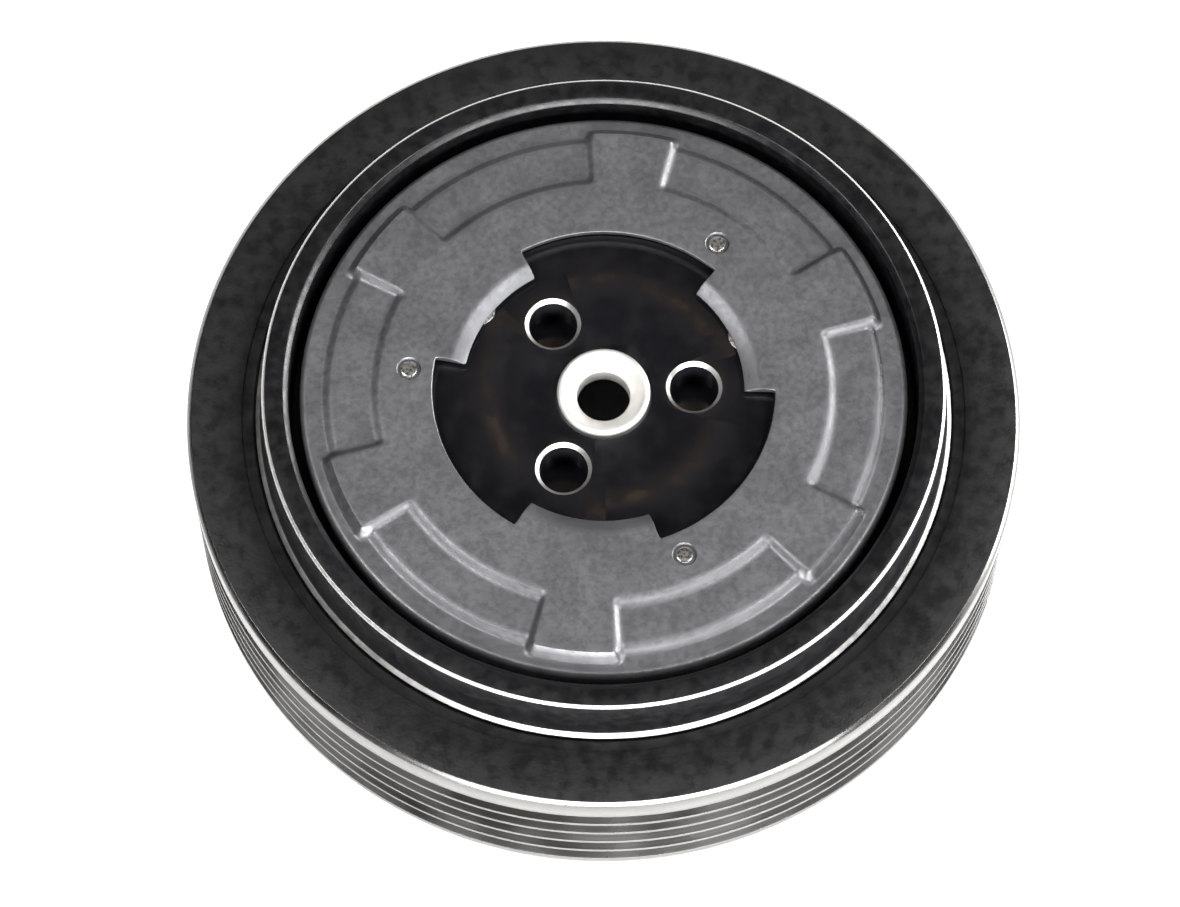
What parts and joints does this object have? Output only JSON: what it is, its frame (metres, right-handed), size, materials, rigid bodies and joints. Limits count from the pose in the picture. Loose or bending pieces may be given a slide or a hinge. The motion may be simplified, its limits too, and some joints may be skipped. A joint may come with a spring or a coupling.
{
  "type": "electromagnetic clutch",
  "caption": "Electromagnetic clutch with a ribbed belt pulley on a ball bearing, a magnet coil behind, and a sprung armature with a grey pocketed cover plate on a black hub.",
  "frame": {"origin": "centre of the mounting plate's rear face, on which the clutch rests", "axes": "+Z along the shaft's axis towards the front, +Y towards the lead's gland"},
  "size_m": [0.11, 0.11, 0.0378],
  "materials": {
    "rim_paint": "satin black coating",
    "rotor_paint": "satin black coating",
    "hub_paint": "gloss black coating",
    "cast_grey": "matte, shot blasted",
    "bush_steel": "turned bright",
    "bare_steel": "ground",
    "spring_steel": "rolled",
    "rivet_steel": "zinc plated",
    "bearing_steel": "ground and polished",
    "zinc_steel": "zinc plated",
    "copper": "enamelled copper wire",
    "brass_tag": "bare",
    "bobbin_plastic": "moulded",
    "cage_plastic": "moulded",
    "resin": "cast",
    "lining": "pressed friction lining",
    "seal_rubber": "moulded",
    "rubber": "moulded"
  },
  "bodies": {
    "stator": {"mounting_plate": "zinc_steel", "coil_shell": "zinc_steel", "coil_rivets": "zinc_steel", "coil_bobbin": "bobbin_plastic", "coil_winding": "copper", "coil_resin": "resin", "lead_gland": "rubber", "lead_terminals": "brass_tag", "bearing_inner_ring": "bearing_steel"},
    "pulley": {"pulley_rim": "rim_paint", "rotor": "rotor_paint", "friction_ring": "lining", "bearing_outer_ring": "bearing_steel", "bearing_front_seal": "seal_rubber", "bearing_rear_seal": "seal_rubber", "bearing_circlip": "spring_steel"},
    "cage": {"bearing_cages": "cage_plastic", "bearing_balls": "bearing_steel"},
    "hub": {"hub": "hub_paint", "centre_bush": "bush_steel", "gap_shims": "spring_steel", "leaf_springs": "spring_steel", "hub_rivets": "rivet_steel", "rubber_stops": "rubber"},
    "armature": {"armature_plate": "bare_steel", "cover_plate": "cast_grey", "cover_rivets": "rivet_steel"}
  },
  "joints": [
    {"name": "pulley_spin", "type": "hinge", "parent": "stator", "child": "pulley", "pos_m": [0, 0, 0.015], "axis": [0, 0, 1], "continuous": true},
    {"name": "cage_spin", "type": "hinge", "parent": "stator", "child": "cage", "pos_m": [0, 0, 0.015], "axis": [0, 0, 1], "continuous": true},
    {"name": "hub_spin", "type": "hinge", "parent": "stator", "child": "hub", "pos_m": [0, 0, 0.03], "axis": [0, 0, 1], "continuous": true},
    {"name": "armature_pull", "type": "slide", "parent": "hub", "child": "armature", "axis": [0, 0, -1], "range_m": [0, 0.00045], "stiffness_N_per_m": 20000, "springref_m": -0.0006, "deforming": ["leaf_springs"]}
  ],
  "couplings": [
    {"joint": "cage_spin", "follows": "pulley_spin", "ratio": 0.5437}
  ]
}
